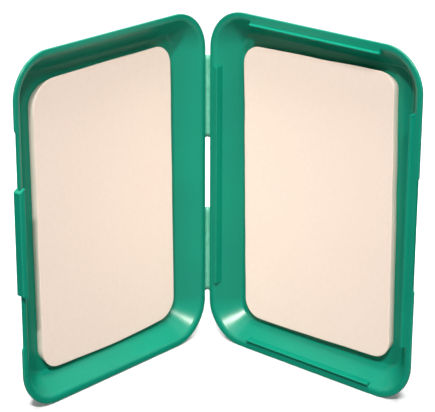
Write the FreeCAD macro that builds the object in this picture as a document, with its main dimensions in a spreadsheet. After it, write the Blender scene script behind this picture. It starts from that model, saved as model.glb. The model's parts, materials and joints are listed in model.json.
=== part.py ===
import FreeCAD, Part
import Sketcher
import math
import os

# A wet palette: two shallow moulded trays joined by thin hinge films, with a snap latch,
# a foam pad in each tray and a sheet of palette paper on each pad.
# It stands on its end, opened to a right angle, with the hinge line upright.

# Driving dimensions in millimetres, degrees for the turns
SIZES = {
    "rim_height": 200.0,
    "rim_width": 145.1,
    "lid_shrink": 0.6,
    "corner_radius": 24.0,
    "hinge_gap": 1.5,
    "closing_gap": 0.05,
    "flange_thickness": 1.5,
    "rim_face": 3.75,
    "floor_inset": 14.0,
    "wall_hollow": 0.35,
    "wall_skin": 0.5,
    "tray_depth": 13.0,
    "floor_thickness": 1.5,
    "rim_inner_round": 3.0,
    "rim_outer_round": 0.5,
    "rim_back_round": 0.3,
    "floor_round": 2.0,
    "back_round": 3.0,
    "rib_foot": 2.6,
    "rib_foot_root": 0.8,
    "rib_foot_drop": 0.05,
    "rib_inset": 4.8,
    "hinge_rib_inset": 4.2,
    "rib_lean": 0.5,
    "rib_crest": 1.3,
    "end_rib_inner": 6.0,
    "side_rib_inner": 6.4,
    "rib_root": 4.9,
    "rib_crest_round": 0.3,
    "side_rib_start": 35.0,
    "side_rib_length": 131.0,
    "end_rib_start": 31.0,
    "end_rib_length": 88.0,
    "dip_depth": 0.7,
    "dip_length": 64.0,
    "recess_depth": 1.1,
    "recess_length": 123.0,
    "recess_slope": 2.0,
    "latch_length": 62.0,
    "latch_end_slope": 2.4,
    "latch_proud": 1.75,
    "latch_reach": 3.7,
    "latch_root_radius": 0.75,
    "latch_clearance": 0.02,
    "latch_hook_depth": 2.1,
    "latch_hook_start": 1.75,
    "latch_hook_tip": 2.2,
    "latch_round": 0.7,
    "latch_back_round": 0.5,
    "film_inner_radius": 0.75,
    "film_thickness": 0.4,
    "lower_film_start": 28.3,
    "lower_film_length": 52.0,
    "upper_film_start": 123.0,
    "upper_film_length": 48.4,
    "pad_width": 104.0,
    "base_pad_height": 163.5,
    "lid_pad_height": 164.6,
    "pad_thickness": 4.5,
    "pad_corner": 11.0,
    "pad_clearance": 0.05,
    "base_pad_across": 72.9,
    "base_pad_up": 99.4,
    "base_pad_turn": 1.4,
    "lid_pad_across": 72.8,
    "lid_pad_up": 98.5,
    "lid_pad_turn": 0.65,
    "paper_thickness": 0.2,
    "paper_clearance": 0.02,
}

doc = FreeCAD.newDocument("wet_palette")
sheet = doc.addObject("Spreadsheet::Sheet", "sizes")
for row, (alias, value) in enumerate(SIZES.items(), start=1):
    sheet.set(f"A{row}", alias)
    sheet.set(f"B{row}", str(value))
    sheet.setAlias(f"B{row}", alias)
doc.recompute()


class Measure:
    """A length from the sheet, held with the expression that binds a feature to it."""

    def __init__(self, value, text):
        self.value = value
        self.text = text

    def __add__(self, other):
        return Measure(self.value + other.value, f"({self.text} + {other.text})")

    def __sub__(self, other):
        return Measure(self.value - other.value, f"({self.text} - {other.text})")

    def __mul__(self, number):
        return Measure(self.value * number, f"({self.text} * {number})")

    def __neg__(self):
        return self * -1


def size(alias):
    return Measure(float(sheet.get(alias)), f"sizes.{alias}")


ZERO = Measure(0.0, "0")
OUTER_EDGE = size("hinge_gap") + size("rim_width")
LID_EDGE = OUTER_EDGE - size("lid_shrink")
MID_HEIGHT = size("rim_height") * 0.5
BACK_DEPTH = size("tray_depth") + size("floor_thickness")

# Each half is drawn lying flat, looking into its tray: x runs across from the hinge line,
# y along the hinge and z out of the tray, with the rim's face at z = 0.
# The lid is the same drawing turned end for end, a little smaller on its three free sides.
half_thickness = BACK_DEPTH.value + SIZES["closing_gap"]
hinge_x = (half_thickness - OUTER_EDGE.value) / 2
hinge_y = (LID_EDGE.value + SIZES["latch_proud"] - half_thickness) / 2
HINGE = FreeCAD.Vector(hinge_x, hinge_y, 0)
CLOSING_GAP = SIZES["closing_gap"]
BASE_PLACE = FreeCAD.Placement(
    HINGE + FreeCAD.Vector(0, CLOSING_GAP, 0),
    FreeCAD.Rotation(FreeCAD.Vector(1, 0, 0), 90),
)
LID_PLACE = FreeCAD.Placement(
    HINGE + FreeCAD.Vector(-CLOSING_GAP, 0, SIZES["rim_height"]),
    FreeCAD.Rotation(FreeCAD.Vector(-1, 1, -1), 120),
)


def bind(feature, name, measure):
    feature.setExpression(name, measure.text)


def new_body(label):
    body = doc.addObject("PartDesign::Body", label)
    body.Label = label
    return body


def new_sketch(body, name, plane, offset=None):
    sketch = body.newObject("Sketcher::SketchObject", f"{body.Label}_{name}")
    support = [item for item in body.Origin.OriginFeatures if item.Role == plane][0]
    sketch.AttachmentSupport = [(support, "")]
    sketch.MapMode = "FlatFace"
    if offset:
        bind(sketch, "AttachmentOffset.Base.z", offset)
    return sketch


def dimension(sketch, kind, ends, measure, name):
    index = sketch.addConstraint(Sketcher.Constraint(kind, *ends, measure.value))
    sketch.renameConstraint(index, name)
    bind(sketch, f"Constraints.{name}", measure)


def rounded_rectangle(sketch, left, bottom, width, height, radius):
    """Four lines and four tangent arcs, going round from the bottom line."""
    x0 = left.value
    x1 = x0 + width.value
    y0 = bottom.value
    y1 = y0 + height.value
    r = radius.value
    runs = [
        ((x0 + r, y0), (x1 - r, y0)),
        ((x1, y0 + r), (x1, y1 - r)),
        ((x1 - r, y1), (x0 + r, y1)),
        ((x0, y1 - r), (x0, y0 + r)),
    ]
    centres = [(x1 - r, y0 + r), (x1 - r, y1 - r), (x0 + r, y1 - r), (x0 + r, y0 + r)]
    lines = [Part.LineSegment(FreeCAD.Vector(*a), FreeCAD.Vector(*b)) for a, b in runs]
    arcs = []
    for quarter, centre in enumerate(centres):
        circle = Part.Circle(FreeCAD.Vector(*centre), FreeCAD.Vector(0, 0, 1), r)
        start = math.radians(90 * (quarter - 1))
        arcs.append(Part.ArcOfCircle(circle, start, start + math.pi / 2))
    sketch.addGeometry(lines + arcs)
    for side in range(4):
        corner = 4 + side
        sketch.addConstraint(Sketcher.Constraint("Tangent", side, 2, corner, 1))
        sketch.addConstraint(Sketcher.Constraint("Tangent", corner, 2, (side + 1) % 4, 1))
        direction = "Horizontal" if side % 2 == 0 else "Vertical"
        sketch.addConstraint(Sketcher.Constraint(direction, side))
    for corner in (4, 5, 6):
        sketch.addConstraint(Sketcher.Constraint("Equal", corner, corner + 1))
    dimension(sketch, "Radius", (4,), radius, "corner")
    dimension(sketch, "DistanceX", (-1, 1, 3, 2), left, "left")
    dimension(sketch, "DistanceY", (-1, 1, 0, 1), bottom, "bottom")
    dimension(sketch, "DistanceX", (3, 2, 1, 1), width, "width")
    dimension(sketch, "DistanceY", (0, 1, 2, 1), height, "height")


def polygon(sketch, points):
    """Straight lines from point to point and back to the first."""
    for index, (x, y) in enumerate(points):
        next_x, next_y = points[(index + 1) % len(points)]
        start = FreeCAD.Vector(x.value, y.value)
        end = FreeCAD.Vector(next_x.value, next_y.value)
        sketch.addGeometry(Part.LineSegment(start, end))
    for index, (x, y) in enumerate(points):
        following = (index + 1) % len(points)
        sketch.addConstraint(Sketcher.Constraint("Coincident", index, 2, following, 1))
        dimension(sketch, "DistanceX", (-1, 1, index, 1), x, f"x{index}")
        dimension(sketch, "DistanceY", (-1, 1, index, 1), y, f"y{index}")


def pull(body, kind, sketch, length, reverse):
    """Pads or pockets a sketch."""
    feature = body.newObject(f"PartDesign::{kind}", f"{sketch.Name}_{kind.lower()}")
    feature.Profile = sketch
    feature.Reversed = reverse
    bind(feature, "Length", length)
    doc.recompute()
    return feature


def loft(body, kind, sections):
    """Adds or cuts a smooth solid through the sections."""
    feature = body.newObject(f"PartDesign::{kind}", f"{sections[0].Name}_{kind.lower()}")
    feature.Profile = sections[0]
    feature.Sections = sections[1:]
    doc.recompute()
    return feature


def round_edges(body, base, name, radius, wanted):
    """Fillets the edges of the body so far for which wanted(edge) is true."""
    edges = [f"Edge{i}" for i, edge in enumerate(base.Shape.Edges, start=1) if wanted(edge)]
    fillet = body.newObject("PartDesign::Fillet", f"{body.Label}_{name}")
    fillet.Base = (base, edges)
    bind(fillet, "Radius", radius)
    doc.recompute()
    return fillet


def lies_at_height(edge, height):
    near = 0.001
    box = edge.BoundBox
    return abs(box.ZMin - height) < near and abs(box.ZMax - height) < near


def inset_outline(sketch, inset, shrink):
    """A rim's outline, moved inwards by an inset. The shrink takes in its three free sides."""
    rounded_rectangle(
        sketch,
        size("hinge_gap") + inset,
        inset + shrink,
        size("rim_width") - inset * 2 - shrink,
        size("rim_height") - (inset + shrink) * 2,
        size("corner_radius") - inset,
    )


def wall_sections(body, name, top, bottom, skin, shrink):
    """Outlines of the wall at four depths. It starts steep at the rim and flattens towards the floor."""
    run = size("floor_inset") - size("rim_face")
    sections = []
    for step in range(4):
        share = step / 3
        hollow = size("wall_hollow") * (4 * share * (1 - share))
        sketch = new_sketch(body, f"{name}_{step}", "XY_Plane", top + (bottom - top) * share)
        inset_outline(sketch, size("rim_face") + run * share - hollow - skin, shrink)
        sections.append(sketch)
    return sections


def rim_notch(body, name, edge, depth, length, slope):
    """Cuts a shallow stretch with sloping ends out of the rim's outer edge."""
    half = length * 0.5
    beyond = depth * 0.5
    sketch = new_sketch(body, name, "XY_Plane")
    polygon(sketch, [
        (edge - depth, MID_HEIGHT - half + slope),
        (edge, MID_HEIGHT - half),
        (edge + beyond, MID_HEIGHT - half),
        (edge + beyond, MID_HEIGHT + half),
        (edge, MID_HEIGHT + half),
        (edge - depth, MID_HEIGHT + half - slope),
    ])
    return pull(body, "Pocket", sketch, size("flange_thickness"), False)


def tray(label, shrink):
    """A shell with a narrow crowned rim, hollow sloping walls with rounded corners, and a flat floor."""
    body = new_body(label)
    flange = new_sketch(body, "flange", "XY_Plane")
    inset_outline(flange, ZERO, shrink)
    pull(body, "Pad", flange, size("flange_thickness"), True)
    flange_back = -size("flange_thickness")
    shell = wall_sections(body, "shell", flange_back, -BACK_DEPTH, size("wall_skin"), shrink)
    loft(body, "AdditiveLoft", shell)
    cavity = wall_sections(body, "cavity", ZERO, -size("tray_depth"), ZERO, shrink)
    hollow = loft(body, "SubtractiveLoft", cavity)
    floor_z = -SIZES["tray_depth"]
    back_z = -BACK_DEPTH.value

    def on_rim_outside(edge, level):
        box = edge.BoundBox
        near_side = min(
            box.XMin - SIZES["hinge_gap"],
            OUTER_EDGE.value - shrink.value - box.XMax,
            box.YMin - shrink.value,
            SIZES["rim_height"] - shrink.value - box.YMax,
        )
        return lies_at_height(edge, level) and near_side < 0.01

    floor = round_edges(body, hollow, "floor_round", size("floor_round"),
                        lambda edge: lies_at_height(edge, floor_z))
    back = round_edges(body, floor, "back_round", size("back_round"),
                       lambda edge: lies_at_height(edge, back_z))
    inside = round_edges(body, back, "rim_inner_round", size("rim_inner_round"),
                         lambda edge: lies_at_height(edge, 0.0) and not on_rim_outside(edge, 0.0))
    outside = round_edges(body, inside, "rim_outer_round", size("rim_outer_round"),
                          lambda edge: on_rim_outside(edge, 0.0))
    round_edges(body, outside, "rim_back_round", size("rim_back_round"),
                lambda edge: on_rim_outside(edge, flange_back.value))
    return body


def rib_section(sketch, rim_start, inwards, inset, inner):
    """A rib's section: a foot on the rim, a leaning outer face, a crest and an upright inner face."""
    outline = [
        (size("rib_foot"), -size("rib_foot_root")),
        (size("rib_foot"), -size("rib_foot_drop")),
        (inset, -size("rib_foot_drop")),
        (inset + size("rib_lean"), size("rib_crest")),
        (inner, size("rib_crest")),
        (inner, -size("rib_root")),
    ]
    polygon(sketch, [(rim_start + across * inwards, height) for across, height in outline])


# Base tray: the half with four locating ribs and a shallow dip for the latch
base_tray = tray("base_tray", ZERO)
rim_notch(base_tray, "dip", OUTER_EDGE, size("dip_depth"), size("dip_length"), size("dip_depth"))
side_ribs = [
    ("hinge_rib", size("hinge_gap"), 1, size("hinge_rib_inset")),
    ("latch_rib", OUTER_EDGE, -1, size("rib_inset")),
]
for name, rim_start, inwards, inset in side_ribs:
    rib = new_sketch(base_tray, name, "XZ_Plane", -size("side_rib_start"))
    rib_section(rib, rim_start, inwards, inset, size("side_rib_inner"))
    pull(base_tray, "Pad", rib, size("side_rib_length"), True)
for name, rim_start, inwards in (("bottom_rib", ZERO, 1), ("top_rib", size("rim_height"), -1)):
    rib = new_sketch(base_tray, name, "YZ_Plane", size("end_rib_start"))
    rib_section(rib, rim_start, inwards, size("rib_inset"), size("end_rib_inner"))
    last_rib = pull(base_tray, "Pad", rib, size("end_rib_length"), False)
round_edges(base_tray, last_rib, "rib_round", size("rib_crest_round"),
            lambda edge: lies_at_height(edge, SIZES["rib_crest"]))
base_tray.Placement = BASE_PLACE

# Lid tray: the half whose outer rim is recessed where the latch is moulded on
lid_tray = tray("lid_tray", size("lid_shrink"))
rim_notch(lid_tray, "recess", LID_EDGE, size("recess_depth"), size("recess_length"), size("recess_slope"))
lid_tray.Placement = LID_PLACE


def latch():
    """A thin plate that stands on a round root at the lid's rim and ends in a hook bead."""
    body = new_body("snap_latch")
    half = size("latch_length") * 0.5
    radius = size("latch_root_radius")
    root_x = LID_EDGE - size("recess_depth") + size("latch_clearance") + radius
    root_z = radius - size("flange_thickness")
    face = LID_EDGE + size("latch_proud")
    tip = LID_EDGE - size("latch_hook_depth")
    reach = size("latch_reach")
    corners = [
        (root_x, root_z + radius),
        (LID_EDGE, root_z + radius),
        (LID_EDGE, size("latch_hook_start")),
        (tip, size("latch_hook_tip")),
        (tip, reach),
        (face, reach),
        (face, root_z - radius),
        (root_x, root_z - radius),
    ]
    sketch = new_sketch(body, "section", "XZ_Plane", half - MID_HEIGHT)
    points = [FreeCAD.Vector(x.value, z.value) for x, z in corners]
    for start, end in zip(points, points[1:]):
        sketch.addGeometry(Part.LineSegment(start, end))
    circle = Part.Circle(FreeCAD.Vector(root_x.value, root_z.value), FreeCAD.Vector(0, 0, 1), radius.value)
    sketch.addGeometry(Part.ArcOfCircle(circle, math.pi / 2, 3 * math.pi / 2))
    root_arc = len(points) - 1
    for index in range(root_arc - 1):
        sketch.addConstraint(Sketcher.Constraint("Coincident", index, 2, index + 1, 1))
    sketch.addConstraint(Sketcher.Constraint("Coincident", root_arc, 1, 0, 1))
    sketch.addConstraint(Sketcher.Constraint("Coincident", root_arc, 2, root_arc - 1, 2))
    for index, (x, z) in enumerate(corners[:-1]):
        dimension(sketch, "DistanceX", (-1, 1, index, 1), x, f"x{index}")
        dimension(sketch, "DistanceY", (-1, 1, index, 1), z, f"z{index}")
    last_x, last_z = corners[-1]
    dimension(sketch, "DistanceX", (-1, 1, root_arc - 1, 2), last_x, "last_x")
    dimension(sketch, "DistanceY", (-1, 1, root_arc - 1, 2), last_z, "last_z")
    dimension(sketch, "DistanceX", (-1, 1, root_arc, 3), root_x, "root")
    strip = pull(body, "Pad", sketch, size("latch_length"), True)

    def along_free_edge(edge):
        box = edge.BoundBox
        return box.YLength > half.value and abs(box.ZMin - reach.value) < 0.001

    def along_back_edge(edge):
        box = edge.BoundBox
        return lies_at_height(edge, -SIZES["flange_thickness"]) and box.XMin > LID_EDGE.value

    blunt = round_edges(body, strip, "free_edge_round", size("latch_round"), along_free_edge)
    round_edges(body, blunt, "back_edge_round", size("latch_back_round"), along_back_edge)
    slope = size("latch_end_slope")
    width = face - tip
    for name, end, inwards in (("near_end", MID_HEIGHT - half, 1), ("far_end", MID_HEIGHT + half, -1)):
        cut = new_sketch(body, name, "XY_Plane", reach)
        polygon(cut, [(face - width, end), (face + slope, end), (face + slope, end + slope * (2 * inwards)),
                      (face, end + slope * inwards)])
        pull(body, "Pocket", cut, reach * 2, False)
    body.Placement = LID_PLACE
    return body


snap_latch = latch()


def hinge_film(label, start, length):
    """Two short leaves and a quarter bend round the hinge line, in one thin strip."""
    body = new_body(label)
    inner = size("film_inner_radius")
    outer = inner + size("film_thickness")
    gap = size("hinge_gap")
    sketch = new_sketch(body, "section", "XY_Plane", start)
    centre = FreeCAD.Vector(0, 0, 0)
    up = FreeCAD.Vector(0, 0, 1)
    corners = [(gap, inner), (gap, outer), (ZERO, outer)]
    far_corners = [(-outer, ZERO), (-outer, -gap), (-inner, -gap), (-inner, ZERO)]
    for chain in (corners, far_corners):
        points = [FreeCAD.Vector(x.value, y.value) for x, y in chain]
        for a, b in zip(points, points[1:]):
            sketch.addGeometry(Part.LineSegment(a, b))
    inner_leaf = sketch.addGeometry(
        Part.LineSegment(FreeCAD.Vector(0, inner.value), FreeCAD.Vector(gap.value, inner.value)))
    for radius in (outer, inner):
        sketch.addGeometry(
            Part.ArcOfCircle(Part.Circle(centre, up, radius.value), math.pi / 2, math.pi))
    outer_arc = inner_leaf + 1
    inner_arc = inner_leaf + 2
    joins = [(0, 2, 1, 1), (1, 2, outer_arc, 1), (outer_arc, 2, 2, 1), (2, 2, 3, 1), (3, 2, 4, 1),
             (4, 2, inner_arc, 2), (inner_arc, 1, inner_leaf, 1), (inner_leaf, 2, 0, 1)]
    for join in joins:
        sketch.addConstraint(Sketcher.Constraint("Coincident", *join))
    for arc in (outer_arc, inner_arc):
        sketch.addConstraint(Sketcher.Constraint("Coincident", arc, 3, -1, 1))
    for line, direction in ((0, "Vertical"), (1, "Horizontal"), (2, "Vertical"), (3, "Horizontal"),
                            (4, "Vertical"), (inner_leaf, "Horizontal")):
        sketch.addConstraint(Sketcher.Constraint(direction, line))
    dimension(sketch, "Radius", (outer_arc,), outer, "outer")
    dimension(sketch, "Radius", (inner_arc,), inner, "inner")
    dimension(sketch, "DistanceX", (-1, 1, 0, 1), gap, "base_leaf")
    dimension(sketch, "DistanceY", (3, 1, -1, 1), gap, "lid_leaf")
    dimension(sketch, "DistanceX", (-1, 1, 1, 2), ZERO, "outer_turn_x")
    dimension(sketch, "DistanceY", (-1, 1, 2, 1), ZERO, "outer_turn_y")
    dimension(sketch, "DistanceX", (-1, 1, inner_leaf, 1), ZERO, "inner_turn_x")
    dimension(sketch, "DistanceY", (-1, 1, 4, 2), ZERO, "inner_turn_y")
    pull(body, "Pad", sketch, length, False)
    body.Placement = FreeCAD.Placement(HINGE, FreeCAD.Rotation())
    return body


lower_hinge_film = hinge_film("lower_hinge_film", size("lower_film_start"), size("lower_film_length"))
upper_hinge_film = hinge_film("upper_hinge_film", size("upper_film_start"), size("upper_film_length"))


def slab(label, level, thickness, height):
    """A sheet of the pad's outline, about its own centre."""
    body = new_body(label)
    width = size("pad_width")
    sketch = new_sketch(body, "outline", "XY_Plane", level)
    rounded_rectangle(sketch, width * -0.5, height * -0.5, width, height, size("pad_corner"))
    pull(body, "Pad", sketch, thickness, False)
    return body


def laid_in(tray_place, across, along, turn):
    """Where a pad lies in its tray: its centre, and a slight turn about it."""
    turned = FreeCAD.Rotation(FreeCAD.Vector(0, 0, 1), turn)
    return tray_place.multiply(FreeCAD.Placement(FreeCAD.Vector(across, along, 0), turned))


pad_level = size("pad_clearance") - size("tray_depth")
paper_level = pad_level + size("pad_thickness") + size("paper_clearance")
BASE_PAD_PLACE = laid_in(BASE_PLACE, SIZES["base_pad_across"], SIZES["base_pad_up"], SIZES["base_pad_turn"])
LID_PAD_PLACE = laid_in(LID_PLACE, SIZES["lid_pad_across"], SIZES["rim_height"] - SIZES["lid_pad_up"],
                        SIZES["lid_pad_turn"])

# Foam pads, cut by hand from sheet foam, and the palette paper that lies on them
base_pad = slab("base_foam_pad", pad_level, size("pad_thickness"), size("base_pad_height"))
base_pad.Placement = BASE_PAD_PLACE
lid_pad = slab("lid_foam_pad", pad_level, size("pad_thickness"), size("lid_pad_height"))
lid_pad.Placement = LID_PAD_PLACE
base_paper = slab("base_palette_paper", paper_level, size("paper_thickness"), size("base_pad_height"))
base_paper.Placement = BASE_PAD_PLACE
lid_paper = slab("lid_palette_paper", paper_level, size("paper_thickness"), size("lid_pad_height"))
lid_paper.Placement = LID_PAD_PLACE

doc.recompute()
for item in doc.Objects:
    if "Invalid" in item.State or "Error" in item.State:
        raise RuntimeError(f"{item.Label} failed: {item.State}")

os.makedirs("parts", exist_ok=True)
nodes = [base_tray, lid_tray, lower_hinge_film, upper_hinge_film, snap_latch,
         base_pad, lid_pad, base_paper, lid_paper]
for node in nodes:
    if node.Shape.isNull() or not node.Shape.isValid():
        raise RuntimeError(f"{node.Label} has no valid solid")
    node.Shape.exportStep(f"parts/{node.Label}.step")
    box = node.Shape.BoundBox
    print(node.Label, len(node.Shape.Solids), round(node.Shape.Volume), "mm3",
          [round(v, 2) for v in (box.XMin, box.YMin, box.ZMin, box.XMax, box.YMax, box.ZMax)])
print("hinge axis at", round(HINGE.x, 3), round(HINGE.y, 3))
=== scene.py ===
import json
import math
import bmesh
import bpy
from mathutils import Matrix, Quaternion, Vector, noise


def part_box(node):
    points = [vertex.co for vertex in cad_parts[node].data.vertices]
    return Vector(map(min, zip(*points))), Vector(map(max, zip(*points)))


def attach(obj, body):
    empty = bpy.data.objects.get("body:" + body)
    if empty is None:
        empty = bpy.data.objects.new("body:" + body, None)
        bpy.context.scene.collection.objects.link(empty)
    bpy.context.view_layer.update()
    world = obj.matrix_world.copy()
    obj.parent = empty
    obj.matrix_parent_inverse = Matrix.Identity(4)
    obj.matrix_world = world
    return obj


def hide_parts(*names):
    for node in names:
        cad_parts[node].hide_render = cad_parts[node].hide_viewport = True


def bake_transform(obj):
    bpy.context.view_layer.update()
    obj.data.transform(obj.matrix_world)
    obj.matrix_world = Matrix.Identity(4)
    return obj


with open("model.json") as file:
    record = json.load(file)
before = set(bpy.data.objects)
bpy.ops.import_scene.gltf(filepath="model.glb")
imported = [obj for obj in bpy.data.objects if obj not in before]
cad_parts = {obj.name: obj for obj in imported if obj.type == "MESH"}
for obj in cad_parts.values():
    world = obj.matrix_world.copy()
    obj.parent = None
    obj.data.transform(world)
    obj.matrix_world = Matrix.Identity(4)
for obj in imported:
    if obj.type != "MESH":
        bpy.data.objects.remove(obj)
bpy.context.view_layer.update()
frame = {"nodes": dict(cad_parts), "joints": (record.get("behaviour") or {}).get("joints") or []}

# The view: a long lens a metre away, above the open side and nearly square to the hinge.
# Its angle, distance and focal length were worked out from the straight edges of the two rims.
MM = 0.001
view_azimuth = 41.46
view_elevation = 20.28
view_roll = 0.24
view_distance = 981.2 * MM
view_aim = Vector((-27.72, 32.08, 100.0)) * MM
lens_length = 147.95
sensor_width = 36.0


def direction_to(azimuth, elevation):
    """The unit vector towards a compass angle, 0 being -Y and 90 being +X, and a height in degrees."""
    turn = math.radians(azimuth)
    rise = math.radians(elevation)
    return Vector((math.sin(turn) * math.cos(rise), -math.cos(turn) * math.cos(rise), math.sin(rise)))


def show(name, data):
    """Adds an object with this data to the scene."""
    shown = bpy.data.objects.new(name, data)
    bpy.context.scene.collection.objects.link(shown)
    return shown


lens = bpy.data.cameras.new("view")
lens.lens = lens_length
lens.sensor_width = sensor_width
camera = show("view", lens)
towards_camera = direction_to(view_azimuth, view_elevation)
level = (-towards_camera).to_track_quat("-Z", "Y")
camera.rotation_mode = "QUATERNION"
camera.rotation_quaternion = level @ Quaternion((0, 0, 1), math.radians(view_roll))
camera.location = view_aim + towards_camera * view_distance
bpy.context.scene.camera = camera

# Base tray, lid tray and snap latch: one injection moulding in green polypropylene.
# The steel mould was lightly blasted, so the plastic has a satin gloss with a very fine grain,
# and its pigment is a little uneven where the melt flowed.
green_deep = "#07866C"
green_light = "#088C70"
flow_width = 40 * MM
gloss_patch = 9 * MM
polypropylene_ior = 1.49
satin_smoothest = 0.283
satin_roughest = 0.3
# The real grain, about a tenth of a millimetre, is too fine to show, so it is drawn coarser.
mould_grain = 0.9 * MM
grain_depth = 0.03 * MM
# Noise keeps mostly between these two values, so a colour runs from one tint to the other between them.
noise_low = 0.35
noise_high = 0.65


def linear(hex_colour):
    """An sRGB hex colour as linear red, green, blue and alpha."""
    channels = [int(hex_colour[start:start + 2], 16) / 255 for start in (1, 3, 5)]
    return [c / 12.92 if c <= 0.04045 else ((c + 0.055) / 1.055) ** 2.4 for c in channels] + [1.0]


def add_node(tree, kind, settings, inputs):
    """Adds a node with its settings, and sets each input to a value or links it to a socket.

    A ramp's setting is the pair of hex colours between which it runs.
    """
    node = tree.nodes.new(kind)
    for name, value in settings.items():
        if name == "color_ramp":
            stops = list(node.color_ramp.elements)
            for stop, position, colour in zip(stops, (noise_low, noise_high), value):
                stop.position = position
                stop.color = linear(colour)
        else:
            setattr(node, name, value)
    for name, value in inputs.items():
        if isinstance(value, bpy.types.NodeSocket):
            tree.links.new(value, node.inputs[name])
        else:
            node.inputs[name].default_value = value
    return node


def new_material(name):
    """An empty node material and its place coordinates, in metres on the object."""
    material = bpy.data.materials.new(name)
    material.use_nodes = True
    material.node_tree.nodes.clear()
    place = add_node(material.node_tree, "ShaderNodeTexCoord", {}, {}).outputs["Object"]
    return material, material.node_tree, place


satin_polypropylene, tree, place = new_material("satin_polypropylene")
flow = add_node(tree, "ShaderNodeTexNoise", {}, {"Vector": place, "Scale": 1 / flow_width, "Detail": 2.0})
pigment = add_node(tree, "ShaderNodeValToRGB", {"color_ramp": (green_deep, green_light)},
                   {"Fac": flow.outputs["Fac"]})
patches = add_node(tree, "ShaderNodeTexNoise", {},
                   {"Vector": place, "Scale": 1 / gloss_patch, "Detail": 3.0})
gloss = add_node(tree, "ShaderNodeMapRange", {},
                 {"Value": patches.outputs["Fac"], "To Min": satin_smoothest, "To Max": satin_roughest})
grain = add_node(tree, "ShaderNodeTexNoise", {}, {"Vector": place, "Scale": 1 / mould_grain, "Detail": 2.0})
relief = add_node(tree, "ShaderNodeBump", {},
                  {"Height": grain.outputs["Fac"], "Strength": 0.1, "Distance": grain_depth})
plastic = add_node(tree, "ShaderNodeBsdfPrincipled", {}, {
    "Base Color": pigment.outputs["Color"],
    "Roughness": gloss.outputs["Result"],
    "IOR": polypropylene_ior,
    "Specular IOR Level": 0.36,
    "Normal": relief.outputs["Normal"],
})
add_node(tree, "ShaderNodeOutputMaterial", {}, {"Surface": plastic.outputs["BSDF"]})

for node_name in ("base_tray", "lid_tray", "snap_latch"):
    moulding = frame["nodes"][node_name]
    moulding.data.materials[0] = satin_polypropylene

# Hinge films: two stretches of the same moulding, left only a few tenths of a millimetre thick.
# So thin, the plastic lets daylight through and looks pale, and it whitens where it has been bent.
film_radius = 0.95 * MM
film_thickness = 0.36 * MM
film_leaf = 1.5 * MM
film_bend_steps = 12
film_length_steps = 16
film_pale = "#6CC9A8"
film_whitened = "#84D6BA"
film_streak = 3 * MM
hinge = Vector(frame["joints"][0]["pos_m"])


def film_profile():
    """Points along the middle of the film, from the base's rim round the hinge to the lid's rim."""
    points = [Vector((film_leaf, film_radius)), Vector((film_leaf / 2, film_radius))]
    for step in range(film_bend_steps + 1):
        angle = math.pi / 2 * (1 + step / film_bend_steps)
        points.append(Vector((math.cos(angle), math.sin(angle))) * film_radius)
    points += [Vector((-film_radius, -film_leaf / 2)), Vector((-film_radius, -film_leaf))]
    return points


def film_mesh(name, bottom, top):
    """A thin strip with that profile, from one height to another."""
    middle = film_profile()
    sides = []
    for index, point in enumerate(middle):
        along = middle[min(index + 1, len(middle) - 1)] - middle[max(index - 1, 0)]
        across = Vector((-along.y, along.x)).normalized() * (film_thickness / 2)
        sides.append((point + across, point - across))
    loop = [pair[0] for pair in sides] + [pair[1] for pair in reversed(sides)]
    bm = bmesh.new()
    rings = []
    for step in range(film_length_steps + 1):
        height = bottom + (top - bottom) * step / film_length_steps
        rings.append([bm.verts.new((hinge.x + p.x, hinge.y + p.y, height)) for p in loop])
    for lower, upper in zip(rings, rings[1:]):
        for index in range(len(loop)):
            following = (index + 1) % len(loop)
            bm.faces.new((lower[index], lower[following], upper[following], upper[index]))
    last = len(loop) - 1
    for ring in (rings[0], rings[-1]):
        for index in range(len(middle) - 1):
            bm.faces.new((ring[index], ring[index + 1], ring[last - index - 1], ring[last - index]))
    bmesh.ops.recalc_face_normals(bm, faces=bm.faces)
    mesh = bpy.data.meshes.new(name)
    bm.to_mesh(mesh)
    bm.free()
    mesh.shade_smooth()
    return mesh


film_polypropylene, tree, place = new_material("film_polypropylene")
streaks = add_node(tree, "ShaderNodeTexNoise", {},
                   {"Vector": place, "Scale": 1 / film_streak, "Detail": 2.0})
pale = add_node(tree, "ShaderNodeValToRGB", {"color_ramp": (film_pale, film_whitened)},
                {"Fac": streaks.outputs["Fac"]})
thin = add_node(tree, "ShaderNodeBsdfPrincipled", {}, {
    "Base Color": pale.outputs["Color"],
    "Roughness": 0.35,
    "IOR": polypropylene_ior,
    "Transmission Weight": 0.3,
})
add_node(tree, "ShaderNodeOutputMaterial", {}, {"Surface": thin.outputs["BSDF"]})

for node_name in ("lower_hinge_film", "upper_hinge_film"):
    low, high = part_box(node_name)
    film = show(f"{node_name}_strip", film_mesh(node_name, low.z, high.z))
    film.data.materials.append(film_polypropylene)
    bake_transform(film)
    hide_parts(node_name)

# Foam pads: two slabs of fine open-celled foam, cut by hand with scissors to lie on the tray floors.
# The cuts wander a little, no corner is quite square, and the cuts at the two ends slant inwards
# towards the back, as they do when thick foam slips in the blades.
cells_across = 48
cells_along = 76
cut_wander = 0.3 * MM
cut_wave = 22 * MM
bow_radius = 400 * MM
end_slant = 2.2 * MM
back_pinch = 0.2 * MM
back_edge = 0.25 * MM
edge_round = 0.15 * MM
edge_steps = 3
arc_steps = 24
face_sag = 0.12 * MM
face_wave = 35 * MM


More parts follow.
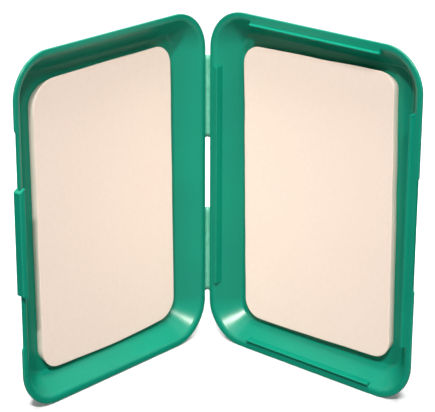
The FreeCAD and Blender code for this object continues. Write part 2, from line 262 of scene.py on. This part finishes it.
class Half:
    """One half of the case: the way across from the hinge, the way its tray opens, and its pad's cut.

    The corners run round from the lower one at the hinge, as millimetres across, up and of rounding.
    The lower cut bows down by a few millimetres between its corners.
    """

    def __init__(self, across, out, corners, low_bow):
        self.across = Vector(across)
        self.out = Vector(out)
        self.corners = [(x * MM, up * MM, radius * MM) for x, up, radius in corners]
        self.low_bow = low_bow * MM

    def point(self, x, up, depth):
        """A point of the half's own drawing, at a depth measured along the way out."""
        flat = Vector((hinge.x, hinge.y, up)) + self.across * x
        return flat + self.out * (depth - flat.dot(self.out))

    def span(self, node):
        """The lowest and highest depth of a node."""
        low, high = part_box(node)
        return sorted((low.dot(self.out), high.dot(self.out)))

    def pad_side(self, first, second):
        """The length of the cut between two of the pad's corners."""
        return (Vector(self.corners[first][:2]) - Vector(self.corners[second][:2])).length


halves = {
    "base": Half((1, 0, 0), (0, -1, 0),
                 [(22.7, 16.3, 11.0), (126.6, 19.2, 11.0), (122.7, 182.6, 9.0), (19.5, 179.7, 11.0)], 0.3),
    "lid": Half((0, -1, 0), (1, 0, 0),
                [(19.6, 16.9, 12.0), (124.3, 16.9, 12.0), (125.6, 180.3, 15.0), (21.7, 181.5, 12.0)], 2.5),
}


def rounded_corners(corners):
    """A dense closed line through corners (x, y, radius), with an arc at each."""
    line = []
    for index, (x, y, radius) in enumerate(corners):
        corner = Vector((x, y))
        before = (Vector(corners[index - 1][:2]) - corner).normalized()
        after = (Vector(corners[(index + 1) % len(corners)][:2]) - corner).normalized()
        half_angle = before.angle(after) / 2
        centre = corner + (before + after).normalized() * (radius / math.sin(half_angle))
        start = corner + before * (radius / math.tan(half_angle)) - centre
        sweep = math.pi - 2 * half_angle
        for step in range(arc_steps + 1):
            angle = sweep * step / arc_steps
            turned = Vector((start.x * math.cos(angle) - start.y * math.sin(angle),
                             start.x * math.sin(angle) + start.y * math.cos(angle)))
            line.append(centre + turned)
    return line


def spaced(line, count):
    """That many equal steps along an open line, with its last point left out."""
    lengths = [(b - a).length for a, b in zip(line, line[1:])]
    step = sum(lengths) / count
    points = []
    index = 0
    passed = 0.0
    for number in range(count):
        wanted = number * step
        while passed + lengths[index] < wanted:
            passed += lengths[index]
            index += 1
        share = (wanted - passed) / lengths[index]
        points.append(line[index].lerp(line[index + 1], share))
    return points


def pad_outline(half):
    """The pad's outline as four runs of points, going round from its lower corner at the hinge."""
    first, second = half.corners[:2]
    middle = ((first[0] + second[0]) / 2, (first[1] + second[1]) / 2 - half.low_bow, bow_radius)
    line = rounded_corners([first, middle] + half.corners[1:])
    ends = []
    for right, up in ((-1, -1), (1, -1), (1, 1), (-1, 1)):
        ends.append(line.index(max(line, key=lambda point: point.x * right + point.y * up)))
    runs = []
    for side, start in enumerate(ends):
        end = ends[(side + 1) % 4]
        stretch = line[start:end + 1] if end > start else line[start:] + line[:end + 1]
        runs.append(spaced(stretch, cells_along if side % 2 else cells_across))
    return runs


def outward(points, index):
    """The outward direction at a point of a closed line that runs anticlockwise."""
    along = points[(index + 1) % len(points)] - points[index - 1]
    return Vector((along.y, -along.x)).normalized()


def wander(point, seed):
    """How far the cut strays outwards at a point of the outline."""
    return cut_wander * noise.noise(Vector((point.x, point.y, seed)) / cut_wave)


def face_height(spot, seed):
    """How far the pad's face dips at a spot, because the foam is uneven."""
    return face_sag * (noise.noise(Vector((spot.x, spot.y, seed)) / face_wave) - 1)


def fill_patch(bm, loop, flat, vertex):
    """Fills a closed loop with a grid that runs evenly between its four sides."""
    m = cells_along
    n = cells_across
    bottom = list(range(0, n + 1))
    right = list(range(n, n + m + 1))
    top = list(range(2 * n + m, n + m - 1, -1))
    left = [0] + list(range(2 * n + 2 * m - 1, 2 * n + m - 1, -1))
    grid = []
    for row in range(m + 1):
        v = row / m
        line = []
        for column in range(n + 1):
            u = column / n
            if row == 0:
                line.append(loop[bottom[column]])
            elif row == m:
                line.append(loop[top[column]])
            elif column == 0:
                line.append(loop[left[row]])
            elif column == n:
                line.append(loop[right[row]])
            else:
                sides = (flat[bottom[column]] * (1 - v) + flat[top[column]] * v
                         + flat[left[row]] * (1 - u) + flat[right[row]] * u)
                corners = ((flat[bottom[0]] * (1 - u) + flat[bottom[n]] * u) * (1 - v)
                           + (flat[top[0]] * (1 - u) + flat[top[n]] * u) * v)
                line.append(vertex(sides - corners))
        grid.append(line)
    for row in range(m):
        for column in range(n):
            bm.faces.new((grid[row][column], grid[row][column + 1],
                          grid[row + 1][column + 1], grid[row + 1][column]))


def slab_mesh(name, half, seed, back, rings, side_material):
    """A closed slab on the pad's outline, built up in rings from its back to its face.

    Each ring is an inset, a slant of the end cuts, a height, and how far it follows the uneven face.
    """
    outline = [point for run in pad_outline(half) for point in run]
    cut = [point + outward(outline, i) * wander(point, seed) for i, point in enumerate(outline)]
    normals = [outward(cut, index) for index in range(len(cut))]
    bm = bmesh.new()

    def vertex(spot, height, follows_face):
        depth = back + height + face_height(spot, seed) * follows_face
        return bm.verts.new(half.point(spot.x, spot.y, depth))

    loops = []
    flats = []
    for inset, slant, height, follows_face in rings:
        flat = [point - normal * inset - Vector((0, normal.y * slant))
                for point, normal in zip(cut, normals)]
        flats.append(flat)
        loops.append([vertex(spot, height, follows_face) for spot in flat])
    for lower, upper in zip(loops, loops[1:]):
        for index in range(len(cut)):
            following = (index + 1) % len(cut)
            side = bm.faces.new((lower[index], lower[following], upper[following], upper[index]))
            side.material_index = side_material
    for end in (0, -1):
        inset, slant, height, follows_face = rings[end]
        fill_patch(bm, loops[end], flats[end], lambda spot: vertex(spot, height, follows_face))
        for index, corner in enumerate(loops[end]):
            bm.edges.get((corner, loops[end][index - 1])).smooth = False
    bmesh.ops.recalc_face_normals(bm, faces=bm.faces)
    mesh = bpy.data.meshes.new(name)
    bm.to_mesh(mesh)
    bm.free()
    mesh.shade_smooth()
    return mesh


# Fine foam has about three cells to the millimetre, too fine to show, so they are drawn coarser.
foam_cell = 0.9 * MM
foam_mottle = 18 * MM
pore_depth = 0.25 * MM


def foam_material(name, dark, light):
    """Matt foam: small pores, and cream with a slight mottle."""
    material, tree, place = new_material(name)
    cells = add_node(tree, "ShaderNodeTexVoronoi", {"feature": "F1"},
                     {"Vector": place, "Scale": 1 / foam_cell})
    mottle = add_node(tree, "ShaderNodeTexNoise", {},
                      {"Vector": place, "Scale": 1 / foam_mottle, "Detail": 3.0})
    tint = add_node(tree, "ShaderNodeValToRGB", {"color_ramp": (dark, light)},
                    {"Fac": mottle.outputs["Fac"]})
    pores = add_node(tree, "ShaderNodeBump", {},
                     {"Height": cells.outputs["Distance"], "Strength": 0.4, "Distance": pore_depth})
    foam = add_node(tree, "ShaderNodeBsdfPrincipled", {}, {
        "Base Color": tint.outputs["Color"],
        "Roughness": 0.9,
        "Normal": pores.outputs["Normal"],
    })
    add_node(tree, "ShaderNodeOutputMaterial", {}, {"Surface": foam.outputs["BSDF"]})
    return material


# The skin of the sheet is pale and close. The cut sides take a slightly darker copy of the same cream:
# painted shade for the sides and the hollows of their open cells.
cream_foam = foam_material("cream_foam", "#F7E2D3", "#FAE6D8")
shaded_side_foam = foam_material("shaded_side_foam", "#F0DCCC", "#F4E1D2")

for seed, (side, half) in enumerate(halves.items()):
    back, front = half.span(f"{side}_foam_pad")
    thickness = front - back
    # The back edge is pinched, the end cuts slant evenly up from it, and the edge of the face is rounded.
    pad_rings = [
        (back_pinch, end_slant, 0.0, 0.0),
        (0.0, end_slant * 0.95, back_edge, 0.0),
        (0.0, end_slant * 0.4, thickness * 0.6, 0.3),
    ]
    for step in range(edge_steps + 1):
        angle = math.pi / 2 * step / edge_steps
        inset = edge_round * (1 - math.cos(angle))
        pad_rings.append((inset, 0.0, thickness - edge_round * (1 - math.sin(angle)), 1.0))
    pad = show(f"{side}_foam_slab", slab_mesh(f"{side}_foam_slab", half, seed, back, pad_rings, 1))
    pad.data.materials.append(cream_foam)
    # The cut sides take the darker copy of the cream, which is painted shade.
    pad.data.materials.append(shaded_side_foam)
    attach(pad, f"{side}_pad")
    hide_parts(f"{side}_foam_pad")

# Palette paper: one sheet of parchment on each pad, kept damp and translucent by the foam.
# It is cut a little smaller than the pad and lies flat, with the foam's rim showing round it.
# Damp, it takes the foam's cream colour and is smooth and dull, with fibres that hardly show.
paper_inset = 0.4 * MM
paper_thickness = 0.14 * MM
paper_fibre = 2.5 * MM
fibre_depth = 0.05 * MM

parchment, tree, place = new_material("parchment_paper")
fibres = add_node(tree, "ShaderNodeTexNoise", {},
                  {"Vector": place, "Scale": 1 / paper_fibre, "Detail": 5.0})
pulp = add_node(tree, "ShaderNodeValToRGB", {"color_ramp": ("#F9E3D4", "#FBE6D7")},
                {"Fac": fibres.outputs["Fac"]})
felt = add_node(tree, "ShaderNodeBump", {},
                {"Height": fibres.outputs["Fac"], "Strength": 0.05, "Distance": fibre_depth})
paper_sheet = add_node(tree, "ShaderNodeBsdfPrincipled", {}, {
    "Base Color": pulp.outputs["Color"],
    "Roughness": 0.6,
    "Normal": felt.outputs["Normal"],
})
add_node(tree, "ShaderNodeOutputMaterial", {}, {"Surface": paper_sheet.outputs["BSDF"]})

for seed, (side, half) in enumerate(halves.items()):
    back, front = half.span(f"{side}_palette_paper")
    paper_rings = [(paper_inset, 0.0, 0.0, 1.0), (paper_inset, 0.0, paper_thickness, 1.0)]
    paper = show(f"{side}_paper_sheet", slab_mesh(f"{side}_paper_sheet", half, seed, back, paper_rings, 0))
    paper.data.materials.append(parchment)
    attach(paper, f"{side}_paper")
    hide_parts(f"{side}_palette_paper")
    width = half.pad_side(0, 1) - 2 * paper_inset
    height = half.pad_side(1, 2) - 2 * paper_inset
    cut_away = sum((1 - math.pi / 4) * (radius - paper_inset) ** 2 for x, up, radius in half.corners)

# The stage: a white floor in a studio. A compact key lamp above and left of the camera throws the
# shadows, a second one stands to its right, a large one hangs overhead and a dim one fills in from the
# right. Two warm gleams beside the front lamps show only as glints in the corners of the trays.
floor_size = 12.0
gleam_colour = "#FFEBD2"
# Each lamp: azimuth and elevation in degrees, distance, width and height in metres, and watts.
lamps = {
    "key_lamp": (32.0, 47.0, 2.5, 0.22, 0.12, 42.5),
    "second_lamp": (50.0, 44.5, 2.5, 0.3, 0.12, 25.5),
    "overhead_lamp": (41.0, 89.0, 2.0, 1.08, 1.08, 49.0),
    "side_lamp": (86.0, 12.0, 2.0, 1.0, 1.0, 2.5),
    "key_gleam": (32.0, 47.0, 2.5, 0.7, 0.5, 31.0),
    "second_gleam": (50.0, 44.5, 2.5, 0.7, 0.5, 22.0),
}
for name, (azimuth, elevation, distance, width, height, watts) in lamps.items():
    bulb = bpy.data.lights.new(name, "AREA")
    bulb.shape = "ELLIPSE"
    bulb.size = width
    bulb.size_y = height
    bulb.energy = watts
    lamp = show(name, bulb)
    towards_lamp = direction_to(azimuth, elevation)
    lamp.location = view_aim + towards_lamp * distance
    lamp.rotation_mode = "QUATERNION"
    lamp.rotation_quaternion = (-towards_lamp).to_track_quat("-Z", "Y")
    if name.endswith("gleam"):
        lamp.visible_diffuse = False
        bulb.color = linear(gleam_colour)[:3]

# The room glows faintly all round, more in front, more again from below as off a table, and most from behind.
# Each glow: azimuth and elevation in degrees, the cosine from its middle at which it ends, and its strength.
room_glow = 0.02
glow_full = 0.9
glows = (
    (41, 25, 0.2, 0.18),
    (41, -55, 0.2, 0.4),
    (225, 25, 0.4, 1.0),
)
room = bpy.data.worlds.new("room")
room.use_nodes = True
background = room.node_tree.nodes["Background"]
towards = add_node(room.node_tree, "ShaderNodeTexCoord", {}, {}).outputs["Generated"]
total = room_glow
for azimuth, elevation, edge, strength in glows:
    facing = add_node(room.node_tree, "ShaderNodeVectorMath", {"operation": "DOT_PRODUCT"},
                      {0: towards, 1: direction_to(azimuth, elevation)})
    patch = add_node(room.node_tree, "ShaderNodeMapRange", {"interpolation_type": "SMOOTHSTEP"}, {
        "Value": facing.outputs["Value"],
        "From Min": edge,
        "From Max": glow_full,
        "To Min": 0.0,
        "To Max": strength,
    })
    total = add_node(room.node_tree, "ShaderNodeMath", {"operation": "ADD"},
                     {0: patch.outputs["Result"], 1: total}).outputs["Value"]
room.node_tree.links.new(total, background.inputs["Strength"])
background.inputs["Color"].default_value = linear("#FFFFFF")
bpy.context.scene.world = room
bpy.context.scene.view_settings.view_transform = "Standard"

# Matt card, white and even but for the faintest smudges.
smudges_per_metre = 3.0
white_board, tree, place = new_material("white_board")
smudge = add_node(tree, "ShaderNodeTexNoise", {}, {"Vector": place, "Scale": smudges_per_metre})
white = add_node(tree, "ShaderNodeValToRGB", {"color_ramp": ("#ECECEB", "#EFEFEE")},
                 {"Fac": smudge.outputs["Fac"]})
board = add_node(tree, "ShaderNodeBsdfPrincipled", {},
                 {"Base Color": white.outputs["Color"], "Roughness": 0.9})
add_node(tree, "ShaderNodeOutputMaterial", {}, {"Surface": board.outputs["BSDF"]})
bm = bmesh.new()
bmesh.ops.create_grid(bm, x_segments=1, y_segments=1, size=floor_size / 2)
floor_mesh = bpy.data.meshes.new("floor")
bm.to_mesh(floor_mesh)
bm.free()
floor = show("floor", floor_mesh)
floor.data.materials.append(white_board)
# The floor is only seen. It neither lights nor shades the part, so the glow from below reaches it.
floor.visible_diffuse = False
floor.visible_glossy = False
floor.visible_shadow = False
